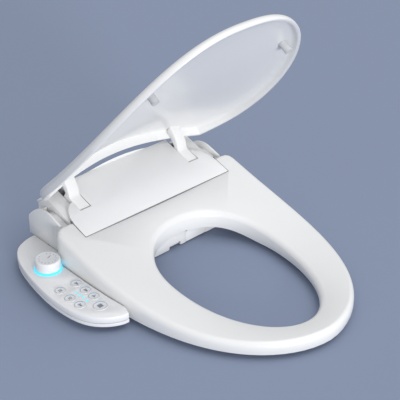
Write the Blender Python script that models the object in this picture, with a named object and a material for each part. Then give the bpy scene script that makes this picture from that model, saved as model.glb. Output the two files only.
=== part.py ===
"""Electric bidet seat: hinged lid and heated seat on a rear housing with a side control panel.

Metres, +Z up. The origin is on the underside of the mounting plate, midway between its two bolt
slots. The seat's nose points along -Y and the control panel is on the -X side.
"""
import math

import bmesh
import bpy
from mathutils import Matrix, Vector

# ---- fits and clearances -------------------------------------------------------------------
GAP = 0.0004             # between pieces that seat on each other
RUN = 0.0003             # radial play of a pin, plunger or shaft in its hole
SEAM = 0.0007            # visible line between two covers
WALL = 0.003             # wall of the moulded casings

# ---- hinge shared by the lid and the seat --------------------------------------------------
PIVOT_Y = -0.0135
PIVOT_Z = 0.0675
PIN_R = 0.0035
LID_OPEN = math.radians(56.3)

# ---- seat ------------------------------------------------------------------------------------
SEAT_HALF = 0.1855       # half width
SEAT_NOSE_Y = -0.465
SEAT_WIDE_Y = -0.067     # where the seat is widest
SEAT_REAR_Y = -0.0565
SEAT_CORNER_R = 0.016
SEAT_BLUNT_X, SEAT_BLUNT_Y = 1.85, 3.2
SEAT_NOSE_Z = 0.0305     # top of the seat at its nose
SEAT_DIP = -0.0545       # slope of the top at the nose
SEAT_SWEEP = 0.44        # how fast the top rises towards the rear
SEAT_BASE_Z = 0.012      # lower edge of the seat's side wall
SEAT_ROUND = 0.007
SEAT_WALL = 0.005
BOTTOM_T = 0.003
SEAT_DISH = 0.005        # how much lower the top is at the opening
HOLE_FRONT_Y = SEAT_NOSE_Y + 0.045
HOLE_REAR_Y = -0.134
HOLE_MID_Y = -0.245
HOLE_HALF = 0.1005
HOLE_FLARE = 0.007
HOLE_LIFT = 0.016        # how much higher the inner wall ends at the rear, over the tray
HOLE_LIFT_Y, HOLE_LIFT_LEN = -0.225, 0.090
HEATER_T = 0.0008
RIM_STEPS = 88           # points round the seat and its opening

# ---- sloping top cover -----------------------------------------------------------------------
COVER_FRONT_Y = -0.0945
COVER_FRONT_Z = 0.0706
COVER_SLOPE = 0.32
COVER_HALF = 0.1500
COVER_REAR_Y = 0.0125
COVER_DEEP = 0.0075      # full depth of the cover with its skirt
COVER_SKIN = 0.003
REAR_HIGH_Z, REAR_LOW_Z = 0.0905, 0.0740   # rear deck's underside, front and back
DECK_T = 0.0050
DECK_CROWN, DECK_CROWN_HALF = 0.0160, 0.098

# ---- housing and tray ------------------------------------------------------------------------
BODY_HALF = COVER_HALF + SEAM
BODY_REAR_Y = 0.034
BODY_FRONT_Y = -0.1185
LUG_IN = BODY_HALF + 0.0010
LUG_OUT = LUG_IN + 0.0128
CAP_HALF = LUG_OUT + 0.0045   # outer faces of the side caps
CAP_FRONT_Y = -0.0545
CAP_WALL = 0.0035
SPLIT_Z = 0.0265         # where the tray meets the housing
TRAY_Z = 0.002
TRAY_FLOOR = 0.0025
TRAY_FRONT_Y = -0.131
TRAY_FRONT_HALF = 0.112

# ---- mounting plate --------------------------------------------------------------------------
BOLT_SPACING = 0.140
BOLT_SLOT_W = 0.012
BOLT_SLOT_L = 0.026
PLATE_HALF = 0.092
PLATE_Y0, PLATE_Y1 = -0.040, 0.024
PLATE_T = 0.004
PLATE_HEAD_ROOM = 0.009

# ---- bands across the hinge, measured from the middle -----------------------------------------
SLOT_REAR_Z = 0.0860     # floor of the slot where it runs out at the back
ARM_IN, ARM_OUT = 0.104, 0.124
SLOT_IN, SLOT_OUT = ARM_IN - SEAM, ARM_OUT + SEAM
BLOCK_IN, BLOCK_OUT = ARM_IN - 0.0095, BODY_HALF - 0.0037
DRUM_R = 0.024
SHROUD_REACH = 0.0325    # how far the arm's shroud reaches in front of the pivot
SLOT_FRONT_Y = PIVOT_Y - SHROUD_REACH - 0.0020    # front edge of the slot at the cover's surface
SWING_FRONT_Y = SLOT_FRONT_Y - 0.0040   # room below it for the shroud's tip to swing
LUG_R = 0.0105
LUG_TOP_Z = 0.0712

# ---- lid, described closed and then turned open about the pivot -------------------------------
LID_HALF = SEAT_HALF + 0.0135
LID_NOSE_Y = SEAT_NOSE_Y - 0.003
LID_WIDE_Y = -0.160
LID_REAR_Y = -0.041
LID_REAR_HALF = 0.160
LID_BLUNT_X, LID_BLUNT_Y = 2.45, 2.02
LID_NOSE_Z = 0.0395
LID_DIP = -0.043
LID_SWEEP = 0.0916
LID_EDGE_NOSE, LID_EDGE_REAR = 0.012, 0.016
LID_CROWN_NOSE, LID_CROWN_REAR = 0.006, 0.036
LID_RIM_CROWN = 0.84      # how much of the crown the lower rim follows
LID_REAR_BULGE = 0.008
LID_CROWN_FADE = 0.070   # length over which the crown grows from the nose
LID_SKIN = 0.0035
LID_RIM = 0.006

# ---- control panel ---------------------------------------------------------------------------
PANEL_TOP_Z = 0.028
PANEL_SPLIT_Z = 0.0165
PANEL_BASE_Z = 0.0112
PANEL_GAP = 0.002        # between the seat's side and the panel
PANEL_TIP_Y = -0.243
PANEL_EDGE = [(-SEAT_HALF - out, y) for out, y in (
    (0.0025, 0.0175), (0.0255, 0.0060), (0.0430, -0.0200), (0.0535, -0.0550),
    (0.0605, -0.0950), (0.0640, -0.1370), (0.0610, -0.1800), (0.0510, -0.2100),
    (0.0335, -0.2300), (0.0145, -0.2405), (0.0015, -0.2425))]
DIAL_R = 0.0200
DIAL_X, DIAL_Y = -SEAT_HALF - DIAL_R - 0.0025, -0.072
DIAL_H = 0.0170
RING_IN, RING_OUT = DIAL_R - 0.0025, DIAL_R + 0.0018
RING_T = 0.0028
SHAFT_R = 0.0030
BUTTON_R = 0.0085
BUTTON_BIG_R = 0.0108
BUTTON_TRAVEL = 0.0012
BUTTON_PROUD = 0.0008
BOARD_Z, BOARD_T = 0.0176, 0.0014
KEY_IN, KEY_OUT = -SEAT_HALF - 0.0150, -SEAT_HALF - 0.0435   # the two rows of keys
BUTTONS = {"button_rear_wash": (KEY_IN, -0.1330), "button_front_wash": (KEY_IN, -0.1560),
           "button_dryer": (KEY_IN, -0.1765), "button_water_heat": (KEY_OUT, -0.1320),
           "button_seat_heat": (KEY_OUT - 0.0005, -0.1570),
           "button_nozzle_clean": (KEY_OUT + 0.0005, -0.1795)}
BUTTON_STOP = (-SEAT_HALF - 0.0225, -0.2015)
LIGHT_X, LIGHT_Y, LIGHT_PITCH, LIGHT_COUNT, LIGHT_R = -SEAT_HALF - 0.0285, -0.1510, 0.009, 4, 0.0017

# ---- nozzles ---------------------------------------------------------------------------------
NOZZLE_TILT = math.atan(COVER_SLOPE)
NOZZLE_X = (0.0340, 0.0525)
NOZZLE_R = 0.0055
NOZZLE_LEN = 0.112
GUARD_X0, GUARD_X1 = 0.0215, 0.0650
GUARD_Z0, GUARD_Z1 = 0.0026, 0.0222
GUARD_T = 0.0022
NOZZLE_FRONT_Z = 0.0135
GUIDE_LEN = 0.060
GUIDE_FROM = 0.040       # distance of the guide block behind the guard
NOTCH_X0, NOTCH_X1, NOTCH_H = -0.014, 0.0098, 0.009

SIDES = {"left": -1, "right": 1}


# ---- helpers ---------------------------------------------------------------------------------
def clear_scene():
    for obj in list(bpy.data.objects):
        bpy.data.objects.remove(obj, do_unlink=True)


def material(name, colour, roughness, metallic=0.0):
    mat = bpy.data.materials.new(name)
    mat.use_nodes = True
    shader = mat.node_tree.nodes["Principled BSDF"]
    shader.inputs["Base Color"].default_value = (*colour, 1.0)
    shader.inputs["Roughness"].default_value = roughness
    shader.inputs["Metallic"].default_value = metallic
    return mat


def axis_empty(name, location, turn=0.0):
    empty = bpy.data.objects.new(name, None)
    empty.location = location
    empty.rotation_euler.x = turn
    bpy.context.collection.objects.link(empty)
    return empty


def add(name, bm, mat, axis=None):
    """Make an object from a closed mesh given in the shared frame, hung on an axis if it moves."""
    bm.normal_update()
    bmesh.ops.recalc_face_normals(bm, faces=bm.faces)
    mesh = bpy.data.meshes.new(name)
    bm.to_mesh(mesh)
    bm.free()
    obj = bpy.data.objects.new(name, mesh)
    bpy.context.collection.objects.link(obj)
    if mat is not None:
        mesh.materials.append(mat)
        mesh.shade_smooth()
        mesh.set_sharp_from_angle(angle=math.radians(35))
    if axis is not None:
        mesh.transform(Matrix.Translation(-axis.location))
        obj.parent = axis
    return obj


def cut(obj, bm, axis=None, operation="DIFFERENCE"):
    """Take a closed mesh away from an object (or join it on) with a Boolean modifier."""
    tool = add(obj.name + "_tool", bm, None, axis)
    tool.hide_render = True
    tool.display_type = "WIRE"
    modifier = obj.modifiers.new(operation.lower(), "BOOLEAN")
    modifier.object = tool
    modifier.operation = operation
    modifier.solver = "EXACT"
    return obj


def join(obj, bm, axis=None):
    return cut(obj, bm, axis, "UNION")


def round_edges(obj, width, segments=2, angle=50):
    modifier = obj.modifiers.new("rounded", "BEVEL")
    modifier.width = width
    modifier.segments = segments
    modifier.limit_method = "ANGLE"
    modifier.angle_limit = math.radians(angle)
    modifier.use_clamp_overlap = True


def level(z):
    return lambda x, y: z


def prism(outline, low, high):
    """Closed prism over a plan outline; low and high are heights or functions of x and y."""
    low = low if callable(low) else level(low)
    high = high if callable(high) else level(high)
    bm = bmesh.new()
    floor = [bm.verts.new((x, y, low(x, y))) for x, y in outline]
    roof = [bm.verts.new((x, y, high(x, y))) for x, y in outline]
    count = len(outline)
    for i in range(count):
        j = (i + 1) % count
        bm.faces.new((floor[i], floor[j], roof[j], roof[i]))
    caps = [bm.faces.new(floor[::-1]), bm.faces.new(roof)]
    bm.normal_update()
    bmesh.ops.triangulate(bm, faces=caps)
    return bm


def side_prism(profile, x0, x1):
    """Closed prism along X over a (y, z) side profile."""
    bm = prism(profile, x0, x1)
    for vert in bm.verts:
        vert.co = Vector((vert.co.z, vert.co.x, vert.co.y))
    return bm


def block(x0, x1, y0, y1, z0, z1):
    return prism([(x0, y0), (x1, y0), (x1, y1), (x0, y1)], z0, z1)


def disc(x, y, radius, z0, z1, steps=24):
    ring = [(x + radius * math.cos(a), y + radius * math.sin(a)) for a in turns(steps)]
    return prism(ring, z0, z1)


def rod(x0, x1, y, z, radius, steps=20):
    ring = [(y + radius * math.cos(a), z + radius * math.sin(a)) for a in turns(steps)]
    return side_prism(ring, x0, x1)


def rear_rod(x, z, radius, y0, y1, steps=16):
    """Closed cylinder along Y."""
    bm = prism([(z + radius * math.cos(a), x + radius * math.sin(a)) for a in turns(steps)], y0, y1)
    for vert in bm.verts:
        vert.co = Vector((vert.co.y, vert.co.z, vert.co.x))
    return bm


def turns(steps):
    return [2 * math.pi * i / steps for i in range(steps)]


def merged(*meshes):
    """Put several closed meshes, which don't touch, into one cutter."""
    bm = bmesh.new()
    for part in meshes:
        mesh = bpy.data.meshes.new("tool")
        part.to_mesh(mesh)
        part.free()
        bm.from_mesh(mesh)
        bpy.data.meshes.remove(mesh)
    return bm


def lofted(rows):
    """Closed ring-shaped body from rows of matching points; the last row meets the first."""
    bm = bmesh.new()
    rings = [[bm.verts.new(p) for p in row] for row in rows]
    count = len(rows[0])
    for r, ring in enumerate(rings):
        other = rings[(r + 1) % len(rings)]
        for i in range(count):
            j = (i + 1) % count
            bm.faces.new((ring[i], ring[j], other[j], other[i]))
    return bm


def inset(outline, distance):
    """Offset a closed, anticlockwise outline inwards by a distance."""
    count = len(outline)
    moved = []
    for i, (x, y) in enumerate(outline):
        before = Vector(outline[i - 1])
        after = Vector(outline[(i + 1) % count])
        here = Vector((x, y))
        d0 = (here - before).normalized()
        d1 = (after - here).normalized()
        normal = Vector((-(d0.y + d1.y), d0.x + d1.x)).normalized()
        stretch = max(0.5, normal.dot(Vector((-d1.y, d1.x))))
        moved.append((x + normal.x * distance / stretch, y + normal.y * distance / stretch))
    return moved


def smooth_curve(points, steps=3):
    """Catmull-Rom curve through open points, with a few points on each span."""
    chain = [points[0]] + list(points) + [points[-1]]
    curve = []
    for i in range(1, len(chain) - 2):
        a, b, c, d = (Vector(chain[i + k]) for k in (-1, 0, 1, 2))
        for s in range(steps):
            t = s / steps
            spot = 0.5 * (2 * b + (c - a) * t + (2 * a - 5 * b + 4 * c - d) * t ** 2
                          + (3 * b - a - 3 * c + d) * t ** 3)
            curve.append((spot.x, spot.y))
    return curve + [tuple(points[-1])]


def ray_hit(outline, centre, angle):
    """Point where a ray from the centre meets a closed outline."""
    direction = Vector((math.cos(angle), math.sin(angle)))
    for i, point in enumerate(outline):
        a = Vector(point) - centre
        span = Vector(outline[(i + 1) % len(outline)]) - Vector(point)
        det = span.x * direction.y - span.y * direction.x
        if abs(det) < 1e-12:
            continue
        along = (direction.x * a.y - direction.y * a.x) / det
        reach = (span.x * a.y - span.y * a.x) / det
        if -1e-9 <= along <= 1 + 1e-9 and reach > 0:
            return centre + direction * reach
    raise ValueError("the outline doesn't surround its centre")


def mirrored(points):
    """Close a right-hand half outline, listed from nose to rear, with its mirror image."""
    left = [(-x, y) for x, y in reversed(points) if x > 1e-6]
    return list(points) + left


# ---- shapes shared by neighbouring pieces ----------------------------------------------------
def oval_half(half, nose_y, wide_y, blunt_x, blunt_y, steps=40):
    points = []
    for i in range(steps + 1):
        t = 0.5 * math.pi * i / steps
        x = half * math.sin(t) ** (2 / blunt_x)
        y = wide_y - (wide_y - nose_y) * math.cos(t) ** (2 / blunt_y)
        points.append((x, y))
    points[0] = (0.0, nose_y)
    return points


def seat_half():
    return oval_half(SEAT_HALF, SEAT_NOSE_Y, SEAT_WIDE_Y, SEAT_BLUNT_X, SEAT_BLUNT_Y)


def seat_outline():
    half = [p for p in seat_half() if p[1] < SEAT_WIDE_Y - 0.006]
    centre = (SEAT_HALF - SEAT_CORNER_R, SEAT_REAR_Y - SEAT_CORNER_R)
    for i in range(7):
        a = 0.5 * math.pi * i / 6
        half.append((centre[0] + SEAT_CORNER_R * math.cos(a), centre[1] + SEAT_CORNER_R * math.sin(a)))
    return mirrored(half)


def hole_outline(grow=0.0):
    half = oval_half(HOLE_HALF + grow, HOLE_FRONT_Y - grow, HOLE_MID_Y, 2.0, 2.0)
    for i in range(1, 25):
        t = 0.5 * math.pi * i / 24
        half.append(((HOLE_HALF + grow) * math.cos(t) ** 0.9,
                     HOLE_MID_Y + (HOLE_REAR_Y + grow - HOLE_MID_Y) * math.sin(t) ** 0.9))
    half[-1] = (0.0, HOLE_REAR_Y + grow)
    return mirrored(half)


def seat_top(y):
    run = y - SEAT_NOSE_Y
    return SEAT_NOSE_Z + SEAT_DIP * run + SEAT_SWEEP * run ** 2


def cover_top(x, y):
    return COVER_FRONT_Z + COVER_SLOPE * (y - COVER_FRONT_Y)


def below_cover(depth):
    return lambda x, y: cover_top(x, y) - depth


def lid_share(y):
    return (y - LID_NOSE_Y) / (LID_REAR_Y - LID_NOSE_Y)


def lid_outline():
    half = oval_half(LID_HALF, LID_NOSE_Y, LID_WIDE_Y, LID_BLUNT_X, LID_BLUNT_Y, 34)
    for i in range(1, 13):
        s = i / 12
        half.append((LID_HALF - (LID_HALF - LID_REAR_HALF) * s ** 3,
                     LID_WIDE_Y + (LID_REAR_Y - LID_WIDE_Y) * s))
    for i in range(1, 9):
        share = 1 - i / 8
        half.append((LID_REAR_HALF * share, LID_REAR_Y + LID_REAR_BULGE * (1 - share ** 2)))
    return mirrored(half)


def lid_half_at(y):
    """Half width of the closed lid at a place along its length."""
    if y > LID_WIDE_Y:
        return LID_HALF - (LID_HALF - LID_REAR_HALF) * ((y - LID_WIDE_Y) / (LID_REAR_Y - LID_WIDE_Y)) ** 3
    share = min(1.0, max(0.0, (LID_WIDE_Y - y) / (LID_WIDE_Y - LID_NOSE_Y)))
    cosine = share ** (LID_BLUNT_Y / 2)
    return LID_HALF * math.sqrt(max(0.0, 1 - cosine ** 2)) ** (2 / LID_BLUNT_X)


def lid_crown(x, y):
    """How far the lid bulges upwards between its two sides."""
    half = max(lid_half_at(y), 1e-4)
    share = max(0.0, lid_share(y))
    rise = LID_CROWN_NOSE + (LID_CROWN_REAR - LID_CROWN_NOSE) * share ** 1.5
    fade = 1 - (1 - min(1.0, (y - LID_NOSE_Y) / LID_CROWN_FADE)) ** 2
    return rise * fade * max(0.0, 1 - (x / half) ** 2)


def lid_base(y):
    share = lid_share(y)
    return LID_NOSE_Z + LID_DIP * share + LID_SWEEP * share ** 2


def lid_rim(x, y):
    return lid_base(y) + LID_RIM_CROWN * lid_crown(x, y)


def lid_top(x, y):
    edge = LID_EDGE_NOSE + (LID_EDGE_REAR - LID_EDGE_NOSE) * lid_share(y)
    return lid_base(y) + lid_crown(x, y) + edge


# ---- seat pieces -----------------------------------------------------------------------------
def ring_row(outline, centre, height, steps=RIM_STEPS):
    row = []
    for a in turns(steps):
        spot = ray_hit(outline, centre, a)
        row.append((spot.x, spot.y, height(spot.y) if callable(height) else height))
    return row


def below_seat(depth):
    return lambda y: seat_top(y) - depth


def hole_low(drop):
    """Lower edge of the inner wall, which rises at the rear to clear the tray."""
    def height(y):
        share = min(1.0, max(0.0, (y - HOLE_LIFT_Y) / HOLE_LIFT_LEN))
        return SEAT_BASE_Z - drop + HOLE_LIFT * share * share * (3 - 2 * share)
    return height


def deck_clearance():
    """Space under the rear of the seat for the housing's sloping front."""
    front = TRAY_FRONT_Y - 0.0035
    step = BODY_FRONT_Y - 0.004
    deep = COVER_DEEP - 0.0013
    roof = side_prism([(front, -0.02), (0.0, -0.02), (0.0, cover_top(0, 0.0) - deep),
                       (step, cover_top(0, step) - deep), (step, SPLIT_Z + 0.002),
                       (front, SPLIT_Z + 0.002)], -0.158, 0.158)
    return roof


def cover_recess():
    return block(-COVER_HALF - SEAM, COVER_HALF + SEAM, COVER_FRONT_Y - SEAM, 0.0, -0.02, 0.14)


def lug_slots():
    slots = []
    for side in SIDES.values():
        x0, x1 = sorted((side * (LUG_IN - GAP), side * (LUG_OUT + GAP)))
        slots.append(block(x0, x1, SEAT_REAR_Y - 0.020, SEAT_REAR_Y + 0.01, 0.0, LUG_TOP_Z + GAP))
    return merged(*slots)


def seat_pieces(shell, heat, axis):
    centre = Vector((0.0, HOLE_MID_Y))
    outer, hole = seat_outline(), hole_outline()
    edge, flare = SEAT_ROUND, HOLE_FLARE
    rows = [ring_row(outer, centre, SEAT_BASE_Z), ring_row(outer, centre, below_seat(edge)),
            ring_row(inset(outer, 0.3 * edge), centre, below_seat(0.3 * edge)),
            ring_row(inset(outer, edge), centre, seat_top),
            ring_row(hole_outline(flare), centre, below_seat(SEAT_DISH)),
            ring_row(hole_outline(0.35 * flare), centre, below_seat(SEAT_DISH + 0.3 * flare)),
            ring_row(hole, centre, below_seat(SEAT_DISH + flare)),
            ring_row(hole, centre, hole_low(0.0)),
            ring_row(hole_outline(SEAT_WALL), centre, hole_low(0.0)),
            ring_row(hole_outline(SEAT_WALL + 0.006), centre, below_seat(SEAT_WALL + SEAT_DISH + 0.002)),
            ring_row(inset(outer, SEAT_WALL + 0.006), centre, below_seat(SEAT_WALL + 0.001)),
            ring_row(inset(outer, SEAT_WALL), centre, SEAT_BASE_Z)]
    top = add("seat_top_shell", lofted(rows), shell, axis)
    low = SEAT_BASE_Z - GAP - BOTTOM_T
    high = SEAT_BASE_Z - GAP
    rows = [ring_row(inset(outer, 0.001), centre, low), ring_row(inset(outer, 0.001), centre, high),
            ring_row(hole_outline(0.001), centre, hole_low(GAP)),
            ring_row(hole_outline(0.001), centre, hole_low(GAP + BOTTOM_T))]
    bottom = add("seat_bottom_shell", lofted(rows), shell, axis)
    roof = SEAT_WALL + 0.002 + GAP
    sag = 0.5 * SEAT_DISH
    rows = [ring_row(inset(outer, 0.020), centre, below_seat(roof + sag + HEATER_T)),
            ring_row(inset(outer, 0.020), centre, below_seat(roof + sag)),
            ring_row(hole_outline(0.018), centre, below_seat(roof + SEAT_DISH)),
            ring_row(hole_outline(0.018), centre, below_seat(roof + SEAT_DISH + HEATER_T))]
    heater = add("seat_heater", lofted(rows), heat, axis)
    for piece in (top, bottom):
        cut(piece, deck_clearance(), axis)
        cut(piece, cover_recess(), axis)
    cut(heater, block(-0.2, 0.2, COVER_FRONT_Y - 0.030, 0.0, -0.02, 0.14), axis)
    cut(top, lug_slots(), axis)


def seat_lug(side_name, shell, axis):
    side = SIDES[side_name]
    x0, x1 = sorted((side * LUG_IN, side * LUG_OUT))
    front, low, high = SEAT_REAR_Y - 0.018, 0.050, LUG_TOP_Z
    profile = [(front, low), (PIVOT_Y - 0.020, PIVOT_Z - 0.012)]
    for i in range(9):
        a = math.radians(-115 + 195 * i / 8)
        profile.append((PIVOT_Y + LUG_R * math.cos(a), PIVOT_Z + LUG_R * math.sin(a)))
    profile += [(PIVOT_Y - 0.012, PIVOT_Z + 0.0105), (SEAT_REAR_Y + 0.004, high), (front, high)]
    lug = add("seat_hinge_lug_" + side_name, side_prism(profile, x0, x1), shell, axis)
    bore = rod(x0 - 0.01, x1 + 0.01, PIVOT_Y, PIVOT_Z, PIN_R + RUN)
    cut(lug, bore, axis)


def seat_bumpers(rubber, axis):
    places = {"front_left": (-0.098, SEAT_NOSE_Y + 0.091), "front_right": (0.098, SEAT_NOSE_Y + 0.091),
              "rear_left": (-0.140, -0.255), "rear_right": (0.140, -0.255)}
    high = SEAT_BASE_Z - 2 * GAP - BOTTOM_T
    for name, (x, y) in places.items():
        pad = [(x + 0.008 * math.cos(a), y + 0.014 * math.sin(a)) for a in turns(16)]
        add("seat_bumper_" + name, prism(pad, 0.0, high), rubber, axis)


# ---- lid pieces ------------------------------------------------------------------------------
def scaled(outline, centre, share):
    return [(centre[0] + (x - centre[0]) * share, centre[1] + (y - centre[1]) * share)
            for x, y in outline]


def lid_shell(shell, axis):
    centre = (0.0, -0.235)
    outline = lid_outline()
    inner = inset(outline, LID_RIM)
    under = inset(outline, LID_RIM + 0.003)
    bm = bmesh.new()

    def ring(points, height, drop):
        return [bm.verts.new((x, y, height(x, y) - drop)) for x, y in points]

    rings = [ring(scaled(under, centre, s), lid_top, LID_SKIN) for s in (0.3, 0.6, 0.85, 1.0)]
    rings.append(ring(inner, lid_rim, 0.0))
    rings.append(ring(outline, lid_rim, 0.0))
    rings.append(ring(outline, lid_top, 0.0045))
    rings.append(ring(inset(outline, 0.0015), lid_top, 0.0012))
    rings.append(ring(inset(outline, 0.006), lid_top, 0.0))
    rings += [ring(scaled(inset(outline, 0.006), centre, s), lid_top, 0.0) for s in (0.85, 0.6, 0.3)]
    count = len(outline)
    for lower, upper in zip(rings, rings[1:]):
        for i in range(count):
            j = (i + 1) % count
            bm.faces.new((lower[i], lower[j], upper[j], upper[i]))
    for rim, drop in ((rings[0], LID_SKIN), (rings[-1], 0.0)):
        hub = bm.verts.new((centre[0], centre[1], lid_top(*centre) - drop))
        for i in range(count):
            bm.faces.new((rim[i], rim[(i + 1) % count], hub))
    return add("lid_shell", bm, shell, axis)


def arm_profile():
    """Side profile of a lid arm as it stands with the lid open: strap, drum and shroud."""
    drum = [(PIVOT_Y + DRUM_R * math.cos(math.radians(a)), PIVOT_Z + DRUM_R * math.sin(math.radians(a)))
            for a in range(-168, 62, 15)]
    strap_back = [(-0.0085, 0.1000), (0.0005, 0.1120), (0.0065, 0.1180), (0.0095, 0.1240)]
    strap_front = [(0.0025, 0.1325), (-0.0050, 0.1260), (-0.0120, 0.1165), (-0.0170, 0.1065),
                   (-0.0195, 0.0965)]
    reach_y = PIVOT_Y - SHROUD_REACH
    top = cover_top(0, reach_y) - 0.0006
    shroud = [(-0.0225, cover_top(0, -0.0225) - 0.0006), (reach_y, top), (reach_y + 0.003, top - 0.007)]
    return drum + strap_back + strap_front + shroud


def turned_closed(profile):
    """Turn an open-lid side profile back into the lid's closed position."""
    c, s = math.cos(LID_OPEN), math.sin(LID_OPEN)
    points = []
    for y, z in profile:
        dy, dz = y - PIVOT_Y, z - PIVOT_Z
        points.append((PIVOT_Y + dy * c - dz * s, PIVOT_Z + dy * s + dz * c))
    return points


def lid_arms(lid, axis):
    """The two arms are moulded with the lid and turn on the hinge pins."""
    profile = turned_closed(arm_profile())
    join(lid, merged(*[side_prism(profile, *sorted((side * ARM_IN, side * ARM_OUT)))
                       for side in SIDES.values()]), axis)
    cut(lid, rod(-ARM_OUT - 0.01, ARM_OUT + 0.01, PIVOT_Y, PIVOT_Z, PIN_R + RUN), axis)


def lid_bumpers(rubber, axis):
    for name, side in SIDES.items():
        x, y = side * 0.127, SEAT_NOSE_Y + 0.097
        pad = disc(x, y, 0.006, seat_top(y) + 0.0006, lambda u, v: lid_top(u, v) - LID_SKIN - GAP, 14)
        add("lid_bumper_" + name, pad, rubber, axis)


# ---- housing ---------------------------------------------------------------------------------
def cover_outline():
    half = [(COVER_HALF - 0.001, COVER_FRONT_Y), (COVER_HALF, COVER_FRONT_Y + 0.001)]
    half += [(COVER_HALF, -0.066), (0.1475, -0.052), (0.143, -0.042), (0.137, -0.034), (0.1295, -0.0285)]
    half += [(SLOT_OUT, -0.0280), (SLOT_OUT, SLOT_FRONT_Y), (SLOT_IN, SLOT_FRONT_Y)]
    half += [(SLOT_IN, COVER_REAR_Y - 0.001), (SLOT_IN - 0.001, COVER_REAR_Y)]
    return mirrored(half)


def body_outline():
    return mirrored([(TRAY_FRONT_HALF, BODY_FRONT_Y), (BODY_HALF, -0.088),
                     (BODY_HALF, BODY_REAR_Y - 0.004), (BODY_HALF - 0.004, BODY_REAR_Y)])


def tray_outline():
    corner = CAP_HALF - 0.012
    return mirrored([(TRAY_FRONT_HALF - 0.008, TRAY_FRONT_Y),
                     (TRAY_FRONT_HALF, TRAY_FRONT_Y + 0.006), (BODY_HALF, -0.092),
                     (BODY_HALF, CAP_FRONT_Y), (CAP_HALF, CAP_FRONT_Y + 0.004),
                     (CAP_HALF, BODY_REAR_Y - 0.014), (corner, BODY_REAR_Y)])


def roof(x, y):
    """Underside of the cover, with the rear of the housing falling away behind the cover."""
    return cover_top(x, y) - COVER_DEEP - GAP


def hinge_slots(front, rear, low):
    """Room for the lid's arms, open at the top."""
    slots = []
    for side in SIDES.values():
        x0, x1 = sorted((side * SLOT_IN, side * SLOT_OUT))
        slots.append(block(x0, x1, front, rear, low, 0.14))
    return merged(*slots)


def top_cover(shell):
    cover = add("top_cover", prism(cover_outline(), below_cover(COVER_DEEP), cover_top), shell)
    pocket = prism(mirrored([(0.098, COVER_FRONT_Y + WALL), (0.098, COVER_REAR_Y - WALL)]),
                   below_cover(COVER_DEEP + 0.005), below_cover(COVER_SKIN))
    cut(cover, pocket)
    edge = cover_top(0, SLOT_FRONT_Y)
    undercut = [(SLOT_FRONT_Y + 0.004, edge - 0.0004), (SLOT_FRONT_Y, edge - 0.0004),
                (SLOT_FRONT_Y - 0.0034, edge - 0.0085), (SLOT_FRONT_Y - 0.0034, edge - 0.012),
                (SLOT_FRONT_Y + 0.004, edge - 0.012)]
    cut(cover, merged(*[side_prism(undercut, *sorted((side * SLOT_IN, side * SLOT_OUT)))
                        for side in SIDES.values()]))


def rear_housing(shell):
    housing = add("rear_housing", prism(body_outline(), SPLIT_Z, roof), shell)
    cut(housing, prism(inset(body_outline(), WALL), SPLIT_Z - 0.01, below_cover(COVER_DEEP + GAP + WALL)))
    cut(housing, hinge_slots(SWING_FRONT_Y, COVER_REAR_Y, 0.060))
    cut(housing, hinge_slots(0.0, BODY_REAR_Y + 0.01, SLOT_REAR_Z))
    front, rear = COVER_REAR_Y + 0.0005, BODY_REAR_Y + 0.01
    cut(housing, side_prism([(front, 0.14), (front, rear_slope(front)), (rear, rear_slope(rear)), (rear, 0.14)],
                            -0.2, 0.2))
    axle = rod(-0.2, 0.2, PIVOT_Y, PIVOT_Z, PIN_R + RUN)
    cut(housing, axle)


def rear_slope(y):
    """Height of the seat for the rear deck."""
    share = (y - COVER_REAR_Y) / (BODY_REAR_Y - COVER_REAR_Y)
    return REAR_HIGH_Z + (REAR_LOW_Z - REAR_HIGH_Z) * share


def rear_deck(shell):
    """Sloping rear plate, crowned under the lid, that closes the housing behind the cover."""
    front, rear = COVER_REAR_Y + SEAM, BODY_REAR_Y
    columns = [DECK_CROWN_HALF * (1 - i / 6) for i in range(7)]
    front_edge = [(x, front) for x in columns + [-x for x in reversed(columns[:-1])]]
    outline = [(BODY_HALF, rear), (-BODY_HALF, rear), (-BODY_HALF, front)]
    outline += front_edge[::-1] + [(BODY_HALF, front)]

    def top(x, y):
        crown = DECK_CROWN * max(0.0, 1 - (x / DECK_CROWN_HALF) ** 2)
        return rear_slope(y) + DECK_T + crown * (rear - y) / (rear - front)

    deck = add("rear_deck", prism(outline, lambda x, y: rear_slope(y) + GAP, top), shell)
    half = 0.5 * (SLOT_OUT - SLOT_IN) + SEAM
    middle = 0.5 * (SLOT_OUT + SLOT_IN)
    cut(deck, merged(*[block(side * middle - half, side * middle + half, 0.0, rear - WALL, 0.05, 0.14)
                       for side in SIDES.values()]))


def side_cap(name, shell):
    side = SIDES[name]
    wall = [(CAP_FRONT_Y, SPLIT_Z), (BODY_REAR_Y - 0.001, SPLIT_Z), (BODY_REAR_Y - 0.001, 0.054)]
    wall += smooth_curve([(BODY_REAR_Y - 0.003, 0.0610), (0.020, 0.0720), (0.008, 0.0810), (-0.006, 0.0862),
                          (-0.020, 0.0870), (-0.034, 0.0835), (CAP_FRONT_Y, 0.0770)], 2)
    x0, x1 = sorted((side * (CAP_HALF - CAP_WALL), side * CAP_HALF))
    cap = add("side_cap_" + name, side_prism(wall, x0, x1), shell)
    ledge = [(CAP_FRONT_Y + 0.0005, SPLIT_Z + 0.0005), (BODY_REAR_Y - 0.002, SPLIT_Z + 0.0005),
             (BODY_REAR_Y - 0.002, 0.055), (0.018, 0.0715), (0.006, 0.0790), (0.001, 0.050),
             (-0.026, 0.046), (CAP_FRONT_Y + 0.0005, 0.040)]
    x0, x1 = sorted((side * (BODY_HALF + SEAM), side * (CAP_HALF - 0.0010)))
    join(cap, side_prism(ledge, x0, x1))
    round_edges(cap, 0.0012, 1)


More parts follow.
